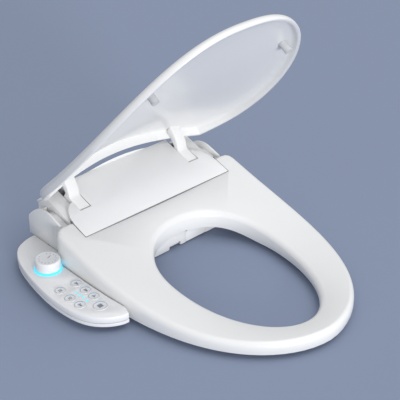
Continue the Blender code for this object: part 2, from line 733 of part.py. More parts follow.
def base_tray(shell):
    tray = add("base_tray", prism(tray_outline(), TRAY_Z, SPLIT_Z - GAP), shell)
    cut(tray, prism(inset(tray_outline(), WALL), TRAY_Z + TRAY_FLOOR, SPLIT_Z + 0.01))
    raised = block(-PLATE_HALF - 0.004, PLATE_HALF + 0.004, PLATE_Y0 - 0.004, PLATE_Y1 + 0.004,
                   TRAY_Z + 0.001, PLATE_T + PLATE_HEAD_ROOM + TRAY_FLOOR)
    join(tray, raised)
    cut(tray, block(-PLATE_HALF - 0.001, PLATE_HALF + 0.001, PLATE_Y0 - 0.001, PLATE_Y1 + 0.001,
                    TRAY_Z - 0.01, PLATE_T + PLATE_HEAD_ROOM))
    gate = block(GUARD_X0 - GAP, GUARD_X1 + GAP, TRAY_FRONT_Y - 0.01, TRAY_FRONT_Y + 0.030,
                 TRAY_Z - 0.01, SPLIT_Z + 0.01)
    notch = block(NOTCH_X0, NOTCH_X1, TRAY_FRONT_Y - 0.01, TRAY_FRONT_Y + 0.006, TRAY_Z - 0.01, NOTCH_H)
    cut(tray, merged(gate, notch))


def mounting(plate_metal):
    outline = [(-PLATE_HALF, PLATE_Y0), (PLATE_HALF, PLATE_Y0), (PLATE_HALF, PLATE_Y1), (-PLATE_HALF, PLATE_Y1)]
    plate = add("mounting_plate", prism(outline, 0.0, PLATE_T), plate_metal)
    slots = []
    for side in SIDES.values():
        x = side * BOLT_SPACING / 2
        ends = [(x + 0.5 * BOLT_SLOT_W * math.cos(a),
                 (0.5 * (BOLT_SLOT_L - BOLT_SLOT_W)) * (1 if a < math.pi else -1)
                 + 0.5 * BOLT_SLOT_W * math.sin(a)) for a in turns(16)]
        slots.append(prism(ends, -0.01, PLATE_T + 0.01))
    cut(plate, merged(*slots))


def hinge_block(name, shell):
    side = SIDES[name]
    x0, x1 = sorted((side * BLOCK_IN, side * BLOCK_OUT))
    block_piece = add("hinge_block_" + name, block(x0, x1, -0.036, 0.008, 0.0300, 0.0365), shell)
    inner = sorted((side * BLOCK_IN, side * (SLOT_IN - 0.0012)))
    outer = sorted((side * (SLOT_OUT + 0.0012), side * BLOCK_OUT))
    for x_low, x_high in (inner, outer):
        join(block_piece, block(x_low, x_high, -0.030, 0.004, 0.0340, PIVOT_Z + 0.0100))
    cut(block_piece, rod(x0 - 0.01, x1 + 0.01, PIVOT_Y, PIVOT_Z, PIN_R + RUN))


def hinge_pins(steel):
    for name, side in SIDES.items():
        x0, x1 = sorted((side * (BLOCK_IN + 0.0005), side * (CAP_HALF - CAP_WALL - GAP)))
        add("hinge_pin_" + name, rod(x0, x1, PIVOT_Y, PIVOT_Z, PIN_R), steel)


def dampers(plastic):
    for name, side in (("lid_damper", -1), ("seat_damper", 1)):
        x0, x1 = sorted((side * 0.045, side * (BLOCK_IN - GAP)))
        barrel = add(name, rod(x0, x1, PIVOT_Y, PIVOT_Z, 0.0095), plastic)
        flat = block(x0 - 0.01, x1 + 0.01, PIVOT_Y - 0.02, PIVOT_Y + 0.02, 0.050, PIVOT_Z - 0.0080)
        cut(barrel, flat)


# ---- inside the housing ----------------------------------------------------------------------
def along_nozzle(distance, offset=0.0):
    """Point on the nozzle line: distance behind the guard, offset square to the line."""
    c, s = math.cos(NOZZLE_TILT), math.sin(NOZZLE_TILT)
    return (TRAY_FRONT_Y + distance * c - offset * s, NOZZLE_FRONT_Z + distance * s + offset * c)


def tilted_rod(x, start, length, radius, steps=16):
    ring = [(x + radius * math.cos(a), radius * math.sin(a)) for a in turns(steps)]
    bm = prism(ring, start, start + length)
    c, s = math.cos(NOZZLE_TILT), math.sin(NOZZLE_TILT)
    for vert in bm.verts:
        across, distance = vert.co.y, vert.co.z
        vert.co.y = TRAY_FRONT_Y + distance * c - across * s
        vert.co.z = NOZZLE_FRONT_Z + distance * s + across * c
    return bm


def tilted_block(x0, x1, start, length, low, high):
    profile = [along_nozzle(start, low), along_nozzle(start + length, low),
               along_nozzle(start + length, high), along_nozzle(start, high)]
    return side_prism(profile, x0, x1)


def nozzles(chrome, shell, dark, axis):
    face = TRAY_FRONT_Y
    guard = block(GUARD_X0, GUARD_X1, face, face + GUARD_T, GUARD_Z0, GUARD_Z1)
    add("nozzle_guard", guard, shell, axis)
    for name, x in zip(("rear_wash_nozzle", "front_wash_nozzle"), NOZZLE_X):
        wand = add(name, tilted_rod(x, 0.0065, NOZZLE_LEN, NOZZLE_R), chrome, axis)
        cut(wand, block(x - 0.01, x + 0.01, face - 0.02, face + GUARD_T + GAP, -0.02, 0.05), axis)
        spray = disc(x, face + 0.020, 0.0012, 0.0255, 0.05, 10)
        cut(wand, spray, axis)
    guide = add("nozzle_guide", tilted_block(GUARD_X0, GUARD_X1, GUIDE_FROM, GUIDE_LEN, -0.0085, 0.0085), dark)
    for x in NOZZLE_X:
        cut(guide, tilted_rod(x, GUIDE_FROM - 0.01, GUIDE_LEN + 0.02, NOZZLE_R + RUN))
    motor = add("nozzle_motor", tilted_block(GUARD_X1 + 0.003, GUARD_X1 + 0.024, GUIDE_FROM + 0.004, 0.036,
                                             -0.0100, 0.0110), dark)
    round_edges(motor, 0.002, 1)


def internals(mats):
    tank = add("water_heater_tank", block(-0.052, 0.014, -0.100, -0.048, 0.0065, 0.0420), mats["tank"])
    round_edges(tank, 0.005, 2)
    valve = add("water_inlet_valve", rod(0.0970, 0.1160, -0.088, 0.020, 0.0105), mats["tank"])
    join(valve, block(0.0980, 0.1150, -0.094, -0.064, 0.0140, 0.0260))
    board = add("main_circuit_board", block(-0.0900, -0.056, -0.108, -0.052, 0.0120, 0.0136), mats["board"])
    join(board, block(-0.0850, -0.065, -0.104, -0.084, 0.0132, 0.0230))
    join(board, block(-0.0830, -0.070, -0.078, -0.062, 0.0132, 0.0200))
    housing = add("dryer_fan_housing", rod(-0.0400, -0.0160, 0.0035, 0.0520, 0.0210, 28), mats["dark"])
    cut(housing, rod(-0.0375, -0.0100, 0.0035, 0.0520, 0.0185, 28))
    hub = rod(-0.0345, -0.0180, 0.0035, 0.0520, 0.0060, 16)
    wheel = add("dryer_fan_wheel", hub, mats["dark"], None)
    for a in turns(6):
        c, s = math.cos(a), math.sin(a)
        blade = [(0.0035 + 0.004 * c - 0.001 * s, 0.0520 + 0.004 * s + 0.001 * c),
                 (0.0035 + 0.004 * c + 0.001 * s, 0.0520 + 0.004 * s - 0.001 * c),
                 (0.0035 + 0.0175 * c + 0.001 * s, 0.0520 + 0.0175 * s - 0.001 * c),
                 (0.0035 + 0.0175 * c - 0.001 * s, 0.0520 + 0.0175 * s + 0.001 * c)]
        join(wheel, side_prism(blade, -0.0335, -0.0190))


def fittings(mats):
    """Water inlet, cord gland and release button, in the ends and the back of the tray."""
    inlet = add("water_inlet_connector", rod(CAP_HALF + GAP, CAP_HALF + 0.016, -0.020, 0.0140, 0.0095),
                mats["dark"])
    cut(inlet, rod(CAP_HALF + 0.004, CAP_HALF + 0.03, -0.020, 0.0140, 0.0065))
    gland = add("cord_gland", rear_rod(-0.105, 0.0150, 0.0085, BODY_REAR_Y + GAP, BODY_REAR_Y + 0.010),
                mats["rubber"])
    cut(gland, rear_rod(-0.105, 0.0150, 0.0035, BODY_REAR_Y + 0.003, BODY_REAR_Y + 0.02))


def release_button(shell, tray):
    x = CAP_HALF
    outline = block(x - 0.006, x + 0.0035, 0.000, 0.018, 0.0105, 0.0215)
    axis = axis_empty("release_axis", (x, 0.009, 0.016))
    button = add("release_button", outline, shell, axis)
    round_edges(button, 0.001, 1)
    cut(tray, block(x - 0.010, x + 0.010, -RUN, 0.018 + RUN, 0.0105 - RUN, 0.0215 + RUN))


# ---- control panel ---------------------------------------------------------------------------
def panel_outline():
    seat_side = inset(seat_outline(), -PANEL_GAP)
    near = [p for p in seat_side if p[0] < 0 and PANEL_TIP_Y + 0.003 < p[1] < CAP_FRONT_Y - 0.003]
    near = sorted(near, key=lambda p: p[1])
    near = near[::2]
    root = -CAP_HALF - SEAM
    edge = smooth_curve([(root, 0.0200)] + PANEL_EDGE)
    last = (-(SEAT_HALF + PANEL_GAP), CAP_FRONT_Y - 0.002)
    return edge + near + [last, (root, CAP_FRONT_Y - 0.0015)]


def control_panel(mats):
    outline = panel_outline()
    top = add("control_panel_top", prism(outline, PANEL_SPLIT_Z + GAP, PANEL_TOP_Z), mats["shell"])
    round_edges(top, 0.0022, 2)
    ceiling = PANEL_TOP_Z - WALL
    cut(top, prism(inset(outline, WALL), PANEL_SPLIT_Z - 0.01, ceiling))
    holes = [disc(x, y, BUTTON_R + RUN, 0.0, 0.05, 20) for x, y in BUTTONS.values()]
    holes.append(disc(*BUTTON_STOP, BUTTON_BIG_R + RUN, 0.0, 0.05, 22))
    holes += [disc(LIGHT_X, LIGHT_Y - i * LIGHT_PITCH, LIGHT_R + RUN, 0.0, 0.05, 12)
              for i in range(LIGHT_COUNT)]
    cut(top, merged(*holes))
    cut(top, disc(DIAL_X, DIAL_Y, RING_OUT + RUN, PANEL_TOP_Z - RING_T + 0.0008, 0.05, 32))
    cut(top, disc(DIAL_X, DIAL_Y, SHAFT_R + 0.001, 0.0, 0.05, 16))
    bottom = add("control_panel_bottom", prism(inset(outline, 0.0005), PANEL_BASE_Z, PANEL_SPLIT_Z), mats["shell"])
    cut(bottom, prism(inset(outline, WALL), PANEL_BASE_Z + WALL, 0.05))
    round_edges(bottom, 0.0022, 2)
    for x, y in ((-0.205, -0.030), (-0.225, -0.110), (-0.212, -0.222)):
        join(bottom, disc(x, y, 0.003, PANEL_BASE_Z + 0.001, BOARD_Z - GAP, 12))
    board = inset(outline, WALL + 0.0025)
    add("panel_circuit_board", prism(board, BOARD_Z, BOARD_Z + BOARD_T), mats["board"])
    dial(mats)
    buttons(mats)
    lights(mats)


def dial(mats):
    axis = axis_empty("dial_axis", (DIAL_X, DIAL_Y, PANEL_TOP_Z))
    ring_low = PANEL_TOP_Z - RING_T + 0.0008 + GAP
    ring = add("dial_light_ring", disc(DIAL_X, DIAL_Y, RING_OUT, ring_low, PANEL_TOP_Z + 0.0012, 32), mats["light"])
    cut(ring, disc(DIAL_X, DIAL_Y, RING_IN, 0.0, 0.05, 32))
    low = PANEL_TOP_Z + 0.0012 + GAP
    knob = add("dial_knob", disc(DIAL_X, DIAL_Y, DIAL_R, low, low + DIAL_H, 32), mats["satin"], axis)
    round_edges(knob, 0.0012, 2)
    cut(knob, disc(DIAL_X, DIAL_Y, SHAFT_R + RUN, 0.0, low + 0.010, 16), axis)
    floor = BOARD_Z + BOARD_T + GAP
    add("dial_shaft", disc(DIAL_X, DIAL_Y, SHAFT_R, floor + 0.0005, low + 0.0095, 16), mats["steel"], axis)
    encoder = add("dial_encoder", block(DIAL_X - 0.007, DIAL_X + 0.007, DIAL_Y - 0.007, DIAL_Y + 0.007,
                                        floor, floor + 0.0045), mats["dark"])
    cut(encoder, disc(DIAL_X, DIAL_Y, SHAFT_R + RUN, 0.0, 0.05, 16))


def buttons(mats):
    low = BOARD_Z + BOARD_T + BUTTON_TRAVEL + 0.0006
    high = PANEL_TOP_Z + BUTTON_PROUD
    sizes = {name: (spot, BUTTON_R) for name, spot in BUTTONS.items()}
    sizes["button_stop"] = (BUTTON_STOP, BUTTON_BIG_R)
    for name, ((x, y), radius) in sizes.items():
        axis = axis_empty(name + "_axis", (x, y, high))
        add(name, disc(x, y, radius, low, high, 20), mats["satin"], axis)


def lights(mats):
    last = LIGHT_Y - (LIGHT_COUNT - 1) * LIGHT_PITCH
    strip = block(LIGHT_X - 0.0025, LIGHT_X + 0.0025, last - 0.003, LIGHT_Y + 0.003,
                  BOARD_Z + BOARD_T + 0.002, PANEL_TOP_Z - WALL - GAP)
    guide = add("indicator_light_guide", strip, mats["light"])
    for i in range(LIGHT_COUNT):
        join(guide, disc(LIGHT_X, LIGHT_Y - i * LIGHT_PITCH, LIGHT_R, BOARD_Z + BOARD_T + 0.004,
                         PANEL_TOP_Z + 0.0003, 12))


# ---- whole object ----------------------------------------------------------------------------
def make_materials():
    return {"shell": material("white_shell", (0.86, 0.87, 0.88), 0.28),
            "satin": material("satin_white", (0.80, 0.81, 0.82), 0.35),
            "rubber": material("bumper_rubber", (0.62, 0.63, 0.64), 0.75),
            "steel": material("pin_steel", (0.62, 0.62, 0.63), 0.30, 1.0),
            "dark": material("dark_plastic", (0.07, 0.07, 0.08), 0.50),
            "tank": material("tank_plastic", (0.55, 0.56, 0.52), 0.45),
            "board": material("circuit_board", (0.03, 0.22, 0.10), 0.45),
            "light": material("light_guide", (0.20, 0.85, 0.98), 0.20),
            "heat": material("heater_foil", (0.70, 0.62, 0.50), 0.40, 0.6)}


def build():
    clear_scene()
    mats = make_materials()
    pivot = (0.0, PIVOT_Y, PIVOT_Z)
    seat_axis = axis_empty("seat_axis", pivot)
    lid_axis = axis_empty("lid_axis", pivot)
    nozzle_axis = axis_empty("nozzle_axis", (0.5 * (GUARD_X0 + GUARD_X1), TRAY_FRONT_Y, NOZZLE_FRONT_Z))
    seat_pieces(mats["shell"], mats["heat"], seat_axis)
    seat_bumpers(mats["rubber"], seat_axis)
    lid_arms(lid_shell(mats["shell"], lid_axis), lid_axis)
    lid_bumpers(mats["rubber"], lid_axis)
    for side in SIDES:
        seat_lug(side, mats["shell"], seat_axis)
        side_cap(side, mats["shell"])
        hinge_block(side, mats["dark"])
    lid_axis.rotation_euler.x = -LID_OPEN
    top_cover(mats["shell"])
    rear_housing(mats["shell"])
    rear_deck(mats["shell"])
    base_tray(mats["shell"])
    release_button(mats["satin"], bpy.data.objects["base_tray"])
    mounting(mats["steel"])
    hinge_pins(mats["steel"])
    dampers(mats["dark"])
    nozzles(mats["steel"], mats["shell"], mats["dark"], nozzle_axis)
    internals(mats)
    fittings(mats)
    control_panel(mats)


build()
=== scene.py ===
"""Electric bidet seat with its lid raised, on a pale studio floor."""

import math

import bmesh
import bpy
from mathutils import Matrix, Vector


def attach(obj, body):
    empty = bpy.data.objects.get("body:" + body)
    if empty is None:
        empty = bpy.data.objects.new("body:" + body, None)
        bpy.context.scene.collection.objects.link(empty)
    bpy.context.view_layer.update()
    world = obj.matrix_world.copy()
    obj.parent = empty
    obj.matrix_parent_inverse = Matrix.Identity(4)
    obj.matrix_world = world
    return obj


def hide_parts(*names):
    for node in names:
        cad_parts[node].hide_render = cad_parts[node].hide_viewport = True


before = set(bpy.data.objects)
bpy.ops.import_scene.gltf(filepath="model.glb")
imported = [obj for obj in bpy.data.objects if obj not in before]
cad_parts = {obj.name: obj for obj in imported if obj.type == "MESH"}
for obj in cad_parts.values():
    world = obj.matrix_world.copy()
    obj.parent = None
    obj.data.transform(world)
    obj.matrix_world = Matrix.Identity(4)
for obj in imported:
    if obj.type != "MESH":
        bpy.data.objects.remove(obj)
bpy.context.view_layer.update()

# ---- sizes shared with the frame, in metres ----------------------------------------------------
PIVOT = Vector((0.0, -0.0135, 0.0675))
LID_OPEN = math.radians(56.3)
SEAT_HALF, SEAT_NOSE, SEAT_WIDE, SEAT_REAR, SEAT_CORNER = 0.1855, -0.465, -0.067, -0.0565, 0.016
SEAT_BASE, SEAT_WALL, HOLE_FLARE = 0.012, 0.005, 0.007
HOLE_FRONT, HOLE_REAR, HOLE_MID, HOLE_HALF = -0.420, -0.134, -0.245, 0.1005
SEAT_DISH, HOLE_LIFT = 0.005, 0.016
COVER_FRONT, COVER_Z, COVER_SLOPE = -0.0945, 0.0706, 0.32
LID_HALF, LID_NOSE, LID_WIDE, LID_REAR, LID_REAR_HALF = 0.199, -0.468, -0.160, -0.041, 0.160
LID_SKIN, LID_RIM = 0.0035, 0.006
LID_NOSE_Z, LID_DIP, LID_SWEEP = 0.0395, -0.043, 0.0916
LID_RIM_CROWN = 0.84     # how much of the crown the lower rim follows
LID_REAR_BULGE = 0.008
LID_CROWN_FADE = 0.070   # length over which the crown grows from the nose
PANEL_TOP = 0.028
DIAL = Vector((-0.208, -0.072))
KEYS = {"button_rear_wash": (-0.2005, -0.133), "button_front_wash": (-0.2005, -0.1560),
        "button_dryer": (-0.2005, -0.1765), "button_water_heat": (-0.2290, -0.132),
        "button_seat_heat": (-0.2295, -0.157), "button_nozzle_clean": (-0.2285, -0.1795)}
STOP_KEY = (-0.2080, -0.2015)


# ---- surface effects ---------------------------------------------------------------------------
def node(tree, kind, **values):
    """Add a shader node; values named after its sockets are numbers, or sockets to join on."""
    made = tree.nodes.new(kind)
    for name, value in values.items():
        numbered = name.startswith("in")
        socket = made.inputs[int(name[2:]) if numbered else name.replace("_", " ")]
        if isinstance(value, bpy.types.NodeSocket):
            tree.links.new(value, socket)
        else:
            socket.default_value = value
    return made


def effect_group(name, sockets_in, sockets_out):
    group = bpy.data.node_groups.new(name, "ShaderNodeTree")
    for label, kind, value in sockets_in:
        socket = group.interface.new_socket(label, in_out="INPUT", socket_type=kind)
        socket.default_value = value
    for label, kind in sockets_out:
        group.interface.new_socket(label, in_out="OUTPUT", socket_type=kind)
    return group, group.nodes.new("NodeGroupInput"), group.nodes.new("NodeGroupOutput")


def make_moulding_effect():
    """Slight unevenness of colour and gloss, and the faint orange peel, of a moulded plastic skin."""
    group, given, out = effect_group(
        "moulding_effect",
        [("Colour", "NodeSocketColor", (0.8, 0.8, 0.8, 1)), ("Tint", "NodeSocketFloat", 0.02),
         ("Gloss", "NodeSocketFloat", 0.3), ("Gloss Change", "NodeSocketFloat", 0.05),
         ("Peel Size", "NodeSocketFloat", 220.0)],
        [("Colour", "NodeSocketColor"), ("Roughness", "NodeSocketFloat"), ("Height", "NodeSocketFloat")])
    place = group.nodes.new("ShaderNodeTexCoord").outputs["Object"]
    cloud = node(group, "ShaderNodeTexNoise", Vector=place, Scale=9.0, Detail=3.0)
    fine = node(group, "ShaderNodeTexNoise", Vector=place, Detail=2.0)
    group.links.new(given.outputs["Peel Size"], fine.inputs["Scale"])
    shade = node(group, "ShaderNodeMapRange", Value=cloud.outputs["Fac"], From_Min=0.3, From_Max=0.7)
    dim = node(group, "ShaderNodeMath", in0=shade.outputs["Result"], in1=given.outputs["Tint"])
    dim.operation = "MULTIPLY"
    keep = node(group, "ShaderNodeMath", in0=1.0, in1=dim.outputs["Value"])
    keep.operation = "SUBTRACT"
    tone = node(group, "ShaderNodeVectorMath", in0=given.outputs["Colour"])
    tone.operation = "SCALE"
    group.links.new(keep.outputs["Value"], tone.inputs["Scale"])
    haze = node(group, "ShaderNodeMath", in0=cloud.outputs["Fac"], in1=given.outputs["Gloss Change"],
                in2=given.outputs["Gloss"])
    haze.operation = "MULTIPLY_ADD"
    group.links.new(tone.outputs["Vector"], out.inputs["Colour"])
    group.links.new(haze.outputs["Value"], out.inputs["Roughness"])
    group.links.new(fine.outputs["Fac"], out.inputs["Height"])
    return group


def make_brush_effect():
    """Fine lines along one direction, as on drawn or brushed metal."""
    group, given, out = effect_group(
        "brush_effect",
        [("Gloss", "NodeSocketFloat", 0.25), ("Gloss Change", "NodeSocketFloat", 0.2),
         ("Line Size", "NodeSocketFloat", 900.0)],
        [("Roughness", "NodeSocketFloat"), ("Height", "NodeSocketFloat")])
    place = group.nodes.new("ShaderNodeTexCoord").outputs["Object"]
    stretch = node(group, "ShaderNodeMapping", Vector=place, Scale=(0.02, 1.0, 1.0))
    lines = node(group, "ShaderNodeTexNoise", Vector=stretch.outputs["Vector"], Detail=3.0)
    group.links.new(given.outputs["Line Size"], lines.inputs["Scale"])
    haze = node(group, "ShaderNodeMath", in0=lines.outputs["Fac"], in1=given.outputs["Gloss Change"],
                in2=given.outputs["Gloss"])
    haze.operation = "MULTIPLY_ADD"
    group.links.new(haze.outputs["Value"], out.inputs["Roughness"])
    group.links.new(lines.outputs["Fac"], out.inputs["Height"])
    return group


MOULDING = make_moulding_effect()
BRUSH = make_brush_effect()


def new_material(name):
    material = bpy.data.materials.new(name)
    material.use_nodes = True
    tree = material.node_tree
    return material, tree, tree.nodes["Principled BSDF"]


def placed(tree, group, **values):
    made = tree.nodes.new("ShaderNodeGroup")
    made.node_tree = group
    for name, value in values.items():
        made.inputs[name.replace("_", " ")].default_value = value
    return made


def plastic(name, colour, gloss=0.28, change=0.06, tint=0.02, peel=220.0, bump=0.04, coat=0.0, specular=0.5):
    material, tree, shader = new_material(name)
    skin = placed(tree, MOULDING, Colour=(*colour, 1), Tint=tint, Gloss=gloss, Gloss_Change=change,
                  Peel_Size=peel)
    raised = node(tree, "ShaderNodeBump", Strength=bump, Distance=0.0004, Height=skin.outputs["Height"])
    tree.links.new(skin.outputs["Colour"], shader.inputs["Base Color"])
    tree.links.new(skin.outputs["Roughness"], shader.inputs["Roughness"])
    tree.links.new(raised.outputs["Normal"], shader.inputs["Normal"])
    shader.inputs["Coat Weight"].default_value = coat
    shader.inputs["Coat Roughness"].default_value = 0.12
    shader.inputs["Specular IOR Level"].default_value = specular
    return material


def metal(name, colour, gloss=0.22, lines=900.0):
    material, tree, shader = new_material(name)
    brushed = placed(tree, BRUSH, Gloss=gloss, Line_Size=lines)
    raised = node(tree, "ShaderNodeBump", Strength=0.15, Distance=0.0002, Height=brushed.outputs["Height"])
    shader.inputs["Base Color"].default_value = (*colour, 1)
    shader.inputs["Metallic"].default_value = 1.0
    tree.links.new(brushed.outputs["Roughness"], shader.inputs["Roughness"])
    tree.links.new(raised.outputs["Normal"], shader.inputs["Normal"])
    return material


def lit_guide(name, colour, glow):
    material = plastic(name, colour, 0.2, 0.05, 0.05, 300.0, 0.02)
    shader = material.node_tree.nodes["Principled BSDF"]
    shader.inputs["Emission Color"].default_value = (*colour, 1)
    shader.inputs["Emission Strength"].default_value = glow
    return material


def board_material(name):
    """Green circuit board with a faint pattern of tracks."""
    material = plastic(name, (0.02, 0.16, 0.07), 0.35, 0.1, 0.15, 400.0, 0.1)
    tree = material.node_tree
    place = tree.nodes.new("ShaderNodeTexCoord").outputs["Object"]
    tracks = tree.nodes.new("ShaderNodeTexBrick")
    tracks.inputs["Scale"].default_value = 90.0
    tracks.inputs["Color1"].default_value = (0.02, 0.16, 0.07, 1)
    tracks.inputs["Color2"].default_value = (0.03, 0.20, 0.09, 1)
    tracks.inputs["Mortar"].default_value = (0.10, 0.30, 0.12, 1)
    tree.links.new(place, tracks.inputs["Vector"])
    tree.links.new(tracks.outputs["Color"], tree.nodes["Principled BSDF"].inputs["Base Color"])
    return material


WHITE = plastic("glossy_white_moulding", (0.80, 0.80, 0.795), 0.30, 0.06, 0.015, 260.0, 0.03, 0.25)
# satin white painted lighter than the seat white (0.84 against 0.80) to make up for the lid's shade on the
# cover; also used on the nozzle guard
COVER_WHITE_PAINTED_LIGHTER = plastic("satin_white_cover_painted_lighter", (0.84, 0.84, 0.84), 0.38, 0.06, 0.02, 320.0, 0.05)
KEY_WHITE = plastic("satin_white_key", (0.74, 0.75, 0.77), 0.34, 0.05, 0.02, 400.0, 0.04)
PANEL_WHITE = plastic("panel_white", (0.78, 0.785, 0.80), 0.32, 0.05, 0.015, 300.0, 0.03)
# dark grey that paints the shadow in the gap round the cover
PAINTED_GAP_SHADE_GREY = plastic("seam_grey", (0.16, 0.165, 0.17), 0.55, 0.1, 0.1, 300.0, 0.08)
DARK = plastic("dark_inner_plastic", (0.035, 0.037, 0.04), 0.5, 0.1, 0.1, 260.0, 0.12)
TANK = plastic("tank_plastic", (0.48, 0.49, 0.45), 0.4, 0.1, 0.08, 200.0, 0.08)
RUBBER = plastic("bumper_rubber", (0.62, 0.625, 0.63), 0.65, 0.15, 0.08, 500.0, 0.2)
DARK_RUBBER = plastic("gland_rubber", (0.05, 0.05, 0.05), 0.7, 0.15, 0.1, 500.0, 0.25)
# grey for the printed key marks and dial scale; on the key rings it paints the shade of a groove
PRINT_AND_GROOVE_SHADE_GREY = plastic("printed_and_groove_shade_grey", (0.22, 0.24, 0.27), 0.5, 0.05, 0.02, 400.0, 0.01)
# blue used only for the arcs on the keys, which paint a glint
PAINTED_GLINT_BLUE = plastic("painted_glint_blue", (0.10, 0.42, 0.72), 0.45, 0.05, 0.02, 400.0, 0.01)
STEEL = metal("brushed_steel", (0.60, 0.60, 0.61))
FOIL = metal("heater_foil", (0.70, 0.60, 0.46), 0.35, 500.0)
GLOW = lit_guide("cyan_light_guide", (0.10, 0.72, 0.95), 0.55)
BOARD = board_material("circuit_board")


# ---- mesh helpers ------------------------------------------------------------------------------
def made_object(name, bm, material):
    bm.normal_update()
    bmesh.ops.recalc_face_normals(bm, faces=bm.faces)
    mesh = bpy.data.meshes.new(name)
    bm.to_mesh(mesh)
    bm.free()
    mesh.materials.append(material)
    obj = bpy.data.objects.new(name, mesh)
    bpy.context.scene.collection.objects.link(obj)
    return obj


def dressed(obj, body, nodes=(), sharp=35):
    """Apply the modifiers, smooth the shading and hang the piece on its body."""
    graph = bpy.context.evaluated_depsgraph_get()
    done = bpy.data.meshes.new_from_object(obj.evaluated_get(graph))
    obj.modifiers.clear()
    obj.data = done
    done.shade_smooth()
    done.set_sharp_from_angle(angle=math.radians(sharp))
    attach(obj, body)
    if nodes:
        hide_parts(*nodes)
    return obj


def bevelled(obj, width, segments=2, angle=35):
    modifier = obj.modifiers.new("rounded_edges", "BEVEL")
    modifier.width = width
    modifier.segments = segments
    modifier.limit_method = "ANGLE"
    modifier.angle_limit = math.radians(angle)
    modifier.use_clamp_overlap = True
    modifier.harden_normals = False


def carve(obj, bm):
    """Cut closed meshes out of a piece and keep the result in its mesh."""
    bm.normal_update()
    bmesh.ops.recalc_face_normals(bm, faces=bm.faces)
    mesh = bpy.data.meshes.new("carving")
    bm.to_mesh(mesh)
    bm.free()
    tool = bpy.data.objects.new("carving", mesh)
    bpy.context.scene.collection.objects.link(tool)
    modifier = obj.modifiers.new("carve", "BOOLEAN")
    modifier.object = tool
    modifier.solver = "EXACT"
    graph = bpy.context.evaluated_depsgraph_get()
    obj.data = bpy.data.meshes.new_from_object(obj.evaluated_get(graph))
    obj.modifiers.clear()
    bpy.data.objects.remove(tool)
    bpy.data.meshes.remove(mesh)


def prism(outline, low, high):
    low = low if callable(low) else (lambda x, y, z=low: z)
    high = high if callable(high) else (lambda x, y, z=high: z)
    bm = bmesh.new()
    floor = [bm.verts.new((x, y, low(x, y))) for x, y in outline]
    top = [bm.verts.new((x, y, high(x, y))) for x, y in outline]
    for i in range(len(outline)):
        j = (i + 1) % len(outline)
        bm.faces.new((floor[i], floor[j], top[j], top[i]))
    bm.faces.new(floor[::-1])
    bm.faces.new(top)
    return bm


def side_prism(profile, x0, x1):
    bm = prism(profile, x0, x1)
    for vert in bm.verts:
        vert.co = Vector((vert.co.z, vert.co.x, vert.co.y))
    return bm


def box(x0, x1, y0, y1, z0, z1):
    return prism([(x0, y0), (x1, y0), (x1, y1), (x0, y1)], z0, z1)


def joined(*parts):
    bm = bmesh.new()
    for part in parts:
        mesh = bpy.data.meshes.new("part")
        part.to_mesh(mesh)
        part.free()
        bm.from_mesh(mesh)
        bpy.data.meshes.remove(mesh)
    return bm


def turns(steps, start=0.0, span=2 * math.pi):
    return [start + span * i / steps for i in range(steps)]


def lathe(x, y, profile, steps=48):
    """Closed body of revolution about a vertical line; the profile runs from axis to axis."""
    bm = bmesh.new()
    rings = []
    for radius, z in profile:
        if radius < 1e-6:
            rings.append([bm.verts.new((x, y, z))])
        else:
            rings.append([bm.verts.new((x + radius * math.cos(a), y + radius * math.sin(a), z))
                          for a in turns(steps)])
    for lower, upper in zip(rings, rings[1:]):
        for i in range(steps):
            j = (i + 1) % steps
            corners = [lower[i % len(lower)], lower[j % len(lower)], upper[j % len(upper)],
                       upper[i % len(upper)]]
            bm.faces.new(list(dict.fromkeys(corners)))
    return bm


def band(x, y, inner, outer, low, high, start=0.0, span=2 * math.pi, steps=40):
    """Flat arc or ring with a rectangular section."""
    whole = span > 2 * math.pi - 1e-6
    angles = turns(steps, start, span) + ([] if whole else [start + span])
    bm = bmesh.new()
    rows = [[bm.verts.new((x + r * math.cos(a), y + r * math.sin(a), z))
             for r, z in ((inner, low), (outer, low), (outer, high), (inner, high))] for a in angles]
    pairs = list(zip(rows, rows[1:])) + ([(rows[-1], rows[0])] if whole else [])
    for here, there in pairs:
        for k in range(4):
            bm.faces.new((here[k], here[(k + 1) % 4], there[(k + 1) % 4], there[k]))
    if not whole:
        bm.faces.new(rows[0][::-1])
        bm.faces.new(rows[-1])
    return bm


def inset(outline, distance):
    count = len(outline)
    moved = []
    for i, (x, y) in enumerate(outline):
        here = Vector((x, y))
        d0 = (here - Vector(outline[i - 1])).normalized()
        d1 = (Vector(outline[(i + 1) % count]) - here).normalized()
        normal = Vector((-(d0.y + d1.y), d0.x + d1.x)).normalized()
        stretch = max(0.5, normal.dot(Vector((-d1.y, d1.x))))
        moved.append((x + normal.x * distance / stretch, y + normal.y * distance / stretch))
    return moved


def ray_hit(outline, centre, angle):
    direction = Vector((math.cos(angle), math.sin(angle)))
    for i, point in enumerate(outline):
        a = Vector(point) - centre
        span = Vector(outline[(i + 1) % len(outline)]) - Vector(point)
        det = span.x * direction.y - span.y * direction.x
        if abs(det) < 1e-12:
            continue
        along = (direction.x * a.y - direction.y * a.x) / det
        reach = (span.x * a.y - span.y * a.x) / det
        if -1e-9 <= along <= 1 + 1e-9 and reach > 0:
            return centre + direction * reach
    raise ValueError("the outline doesn't surround its centre")


def mirrored(points):
    return list(points) + [(-x, y) for x, y in reversed(points) if x > 1e-6]


def oval_half(half, nose, wide, blunt_x, blunt_y, steps):
    points = []
    for i in range(steps + 1):
        t = 0.5 * math.pi * i / steps
        points.append((half * math.sin(t) ** (2 / blunt_x),
                       wide - (wide - nose) * math.cos(t) ** (2 / blunt_y)))
    points[0] = (0.0, nose)
    return points


# ---- seat --------------------------------------------------------------------------------------
def seat_top(y):
    run = y - SEAT_NOSE
    return 0.0305 - 0.0545 * run + 0.44 * run ** 2


